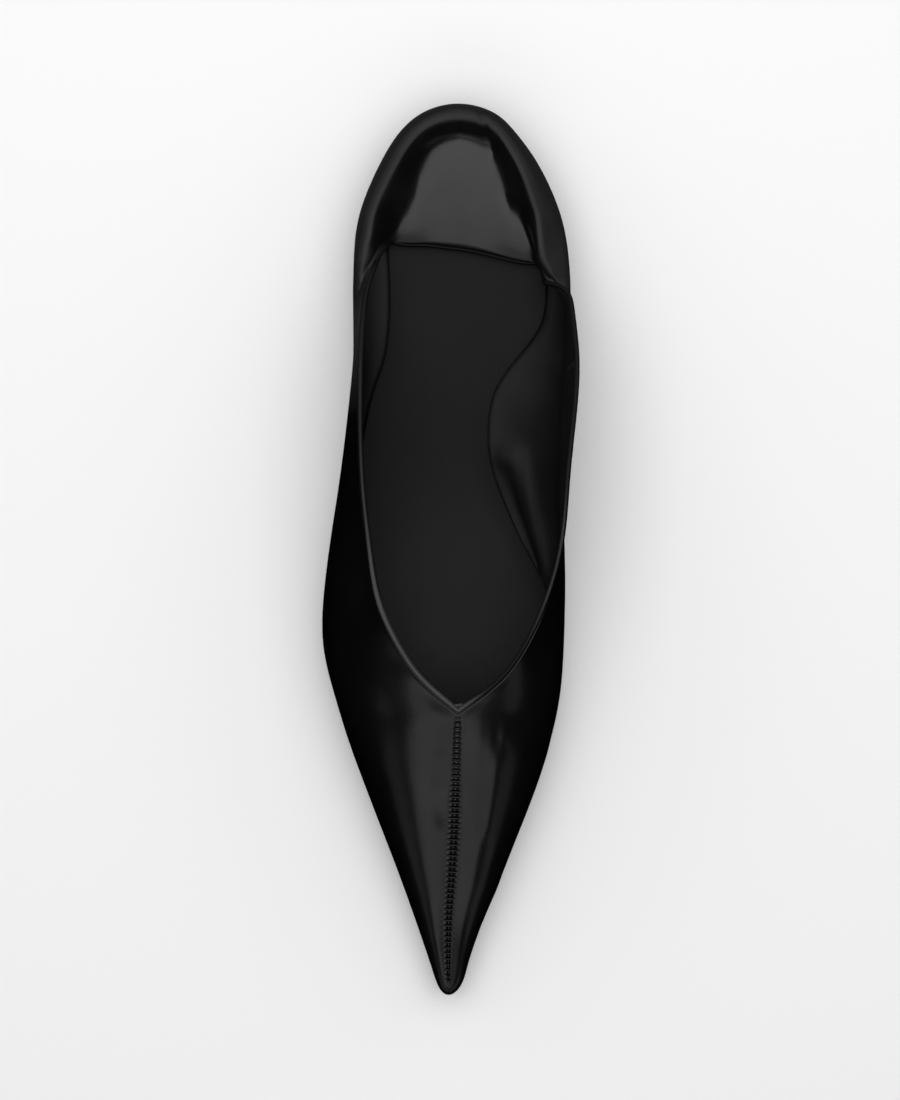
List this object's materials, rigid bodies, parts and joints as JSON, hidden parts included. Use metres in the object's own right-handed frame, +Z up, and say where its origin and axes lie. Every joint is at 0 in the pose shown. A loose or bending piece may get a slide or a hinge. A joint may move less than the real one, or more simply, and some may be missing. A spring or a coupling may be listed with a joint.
{
  "type": "pointed toe flat shoe",
  "caption": "Pointed flat slip-on shoe in black glazed leather, with a V throat, a centre seam and its back folded down onto the insole.",
  "frame": {"origin": "on the floor under the middle of the shoe's box", "axes": "the toe points along -Y, the heel along +Y, the inner side of the foot is +X, +Z is up"},
  "size_m": [0.0805, 0.28, 0.0467],
  "materials": {
    "upper_leather": "glazed, glossy",
    "binding_leather": "glazed, glossy",
    "insole_leather": "smooth, half matte",
    "sole_leather": "dyed, satin",
    "heel_rubber": "satin"
  },
  "bodies": {
    "root": {"upper": "upper_leather", "topline_binding": "binding_leather", "insole": "insole_leather", "outsole": "sole_leather", "heel": "heel_rubber"}
  },
  "joints": []
}
